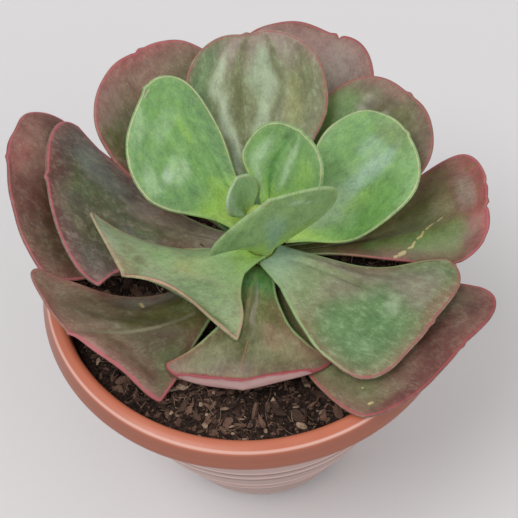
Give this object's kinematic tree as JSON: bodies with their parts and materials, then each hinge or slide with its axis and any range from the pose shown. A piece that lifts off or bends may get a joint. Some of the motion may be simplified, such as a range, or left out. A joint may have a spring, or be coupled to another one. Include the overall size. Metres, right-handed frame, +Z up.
{
  "type": "potted echeveria",
  "caption": "Potted echeveria: a rosette of broad spoon-shaped leaves with wavy red margins on a short stem, in soil in a round tapered terracotta-coloured pot.",
  "frame": {"origin": "centre of the pot's flat base", "axes": "+Z up along the pot's axis, -Y towards the front of the picture's view, +X to its right"},
  "size_m": [0.2279, 0.22, 0.2165],
  "materials": {
    "pot": "satin",
    "soil": "matt",
    "stem": "matt",
    "leaf_dark": "satin",
    "leaf_red": "satin",
    "leaf_olive": "satin",
    "leaf_green": "satin"
  },
  "bodies": {
    "root": {"pot": "pot", "soil": "soil", "stem": "stem", "leaf_01": "leaf_dark", "leaf_02": "leaf_dark", "leaf_03": "leaf_red", "leaf_04": "leaf_olive", "leaf_05": "leaf_dark", "leaf_06": "leaf_dark", "leaf_07": "leaf_dark", "leaf_08": "leaf_olive", "leaf_09": "leaf_olive", "leaf_10": "leaf_olive", "leaf_11": "leaf_olive", "leaf_12": "leaf_olive", "leaf_13": "leaf_green", "leaf_14": "leaf_green", "leaf_15": "leaf_green", "leaf_16": "leaf_green", "leaf_17": "leaf_green"}
  },
  "joints": []
}
